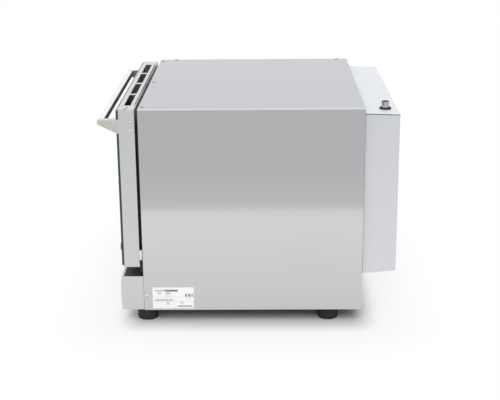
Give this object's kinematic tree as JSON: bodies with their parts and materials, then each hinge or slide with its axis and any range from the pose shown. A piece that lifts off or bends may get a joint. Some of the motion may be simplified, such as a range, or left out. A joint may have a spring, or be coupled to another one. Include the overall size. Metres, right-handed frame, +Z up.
{
  "type": "countertop convection oven",
  "caption": "Box-shaped countertop convection oven with a drop-down glass door, full-width handle, low control panel, round feet and a motor cover with a vent stub behind.",
  "frame": {"origin": "centre of the oven's footprint box, on the surface under its feet", "axes": "+Z up, -Y towards the door, +X to the right of someone facing the door"},
  "size_m": [0.788, 0.855, 0.642],
  "materials": {
    "wrapper_steel": "satin",
    "door_steel": "satin",
    "panel_steel": "satin",
    "hood_steel": "satin",
    "zinc_sheet": "satin",
    "frame_steel": "satin",
    "chamber_steel": "satin",
    "wool": "matte",
    "seal_rubber": "matte",
    "foot_rubber": "matte",
    "bright_bolts": "satin",
    "black_paint": "satin",
    "rack_chrome": "polished",
    "fan_steel": "satin",
    "motor_metal": "matte",
    "heater_metal": "matte",
    "lamp_ceramic": "satin",
    "lamp_glass": "gloss",
    "pipe_steel": "satin",
    "black_plastic": "matte",
    "board": "matte",
    "display": "gloss",
    "outer_glass": "gloss",
    "inner_glass": "gloss",
    "handle_plastic": "satin",
    "handle_metal": "satin",
    "button_plastic": "satin"
  },
  "bodies": {
    "casing": {"outer_wrapper": "wrapper_steel", "panel_fascia": "panel_steel", "panel_end_caps": "panel_steel", "rear_cover": "hood_steel", "base_pan": "zinc_sheet", "rear_panel": "zinc_sheet", "front_frame": "frame_steel", "cavity_liner": "chamber_steel", "fan_baffle": "chamber_steel", "baffle_posts": "chamber_steel", "shaft_seals": "chamber_steel", "insulation_blanket": "wool", "door_gasket": "seal_rubber", "vent_washer": "seal_rubber", "feet": "foot_rubber", "foot_bolts": "bright_bolts", "casing_screws": "bright_bolts", "panel_top_cover": "black_paint", "hinge_arms": "black_paint", "tray_rack_left": "rack_chrome", "tray_rack_right": "rack_chrome", "motor_left": "motor_metal", "motor_right": "motor_metal", "heating_ring_left": "heater_metal", "heating_ring_right": "heater_metal", "temperature_probe": "heater_metal", "limit_thermostat": "heater_metal", "lamp_holder": "lamp_ceramic", "lamp_glass": "lamp_glass", "lamp_bulb": "lamp_glass", "vent_pipe": "pipe_steel", "vent_stub": "pipe_steel", "cable_gland": "black_plastic", "cooling_fan_frame": "black_plastic", "terminal_block": "black_plastic", "power_board": "board", "control_board": "board", "display_lens": "display"},
    "door": {"door_shell": "door_steel", "outer_glass": "outer_glass", "inner_glass": "inner_glass", "inner_glass_clips": "black_paint", "handle_bar": "handle_metal", "handle_bracket_left": "handle_plastic", "handle_bracket_right": "handle_plastic", "handle_bolts": "bright_bolts", "glass_caps": "black_plastic", "hinge_yokes": "black_paint", "hinge_pins": "bright_bolts", "door_screws": "bright_bolts"},
    "fan_left": {"fan_wheel_left": "fan_steel", "motor_shaft_left": "fan_steel"},
    "fan_right": {"fan_wheel_right": "fan_steel", "motor_shaft_right": "fan_steel"},
    "cooling_rotor": {"cooling_fan_rotor": "black_plastic"},
    "dial": {"dial_knob": "button_plastic"},
    "power_button": {"button_power": "button_plastic"},
    "lamp_button": {"button_lamp": "button_plastic"},
    "timer_button": {"button_timer": "button_plastic"},
    "start_button": {"button_start": "button_plastic"}
  },
  "joints": [
    {"name": "door_hinge", "type": "hinge", "parent": "casing", "child": "door", "pos_m": [0, -0.345, 0.184], "axis": [1, 0, 0], "range_deg": [0, 90], "stiffness_Nm_per_rad": 8, "springref_deg": -20.05},
    {"name": "fan_left_spin", "type": "hinge", "parent": "casing", "child": "fan_left", "pos_m": [-0.165, 0.174, 0.398], "axis": [0, 1, 0], "continuous": true},
    {"name": "fan_right_spin", "type": "hinge", "parent": "casing", "child": "fan_right", "pos_m": [0.165, 0.174, 0.398], "axis": [0, 1, 0], "continuous": true},
    {"name": "cooling_fan_spin", "type": "hinge", "parent": "casing", "child": "cooling_rotor", "pos_m": [0.28, 0.3095, 0.09], "axis": [0, 1, 0], "continuous": true},
    {"name": "dial_turn", "type": "hinge", "parent": "casing", "child": "dial", "pos_m": [0.07, -0.3865, 0.088], "axis": [0, 1, 0], "continuous": true},
    {"name": "power_press", "type": "slide", "parent": "casing", "child": "power_button", "axis": [0, 1, 0], "range_m": [0, 0.0015], "stiffness_N_per_m": 800},
    {"name": "lamp_press", "type": "slide", "parent": "casing", "child": "lamp_button", "axis": [0, 1, 0], "range_m": [0, 0.0015], "stiffness_N_per_m": 800},
    {"name": "timer_press", "type": "slide", "parent": "casing", "child": "timer_button", "axis": [0, 1, 0], "range_m": [0, 0.0015], "stiffness_N_per_m": 800},
    {"name": "start_press", "type": "slide", "parent": "casing", "child": "start_button", "axis": [0, 1, 0], "range_m": [0, 0.0015], "stiffness_N_per_m": 800}
  ]
}
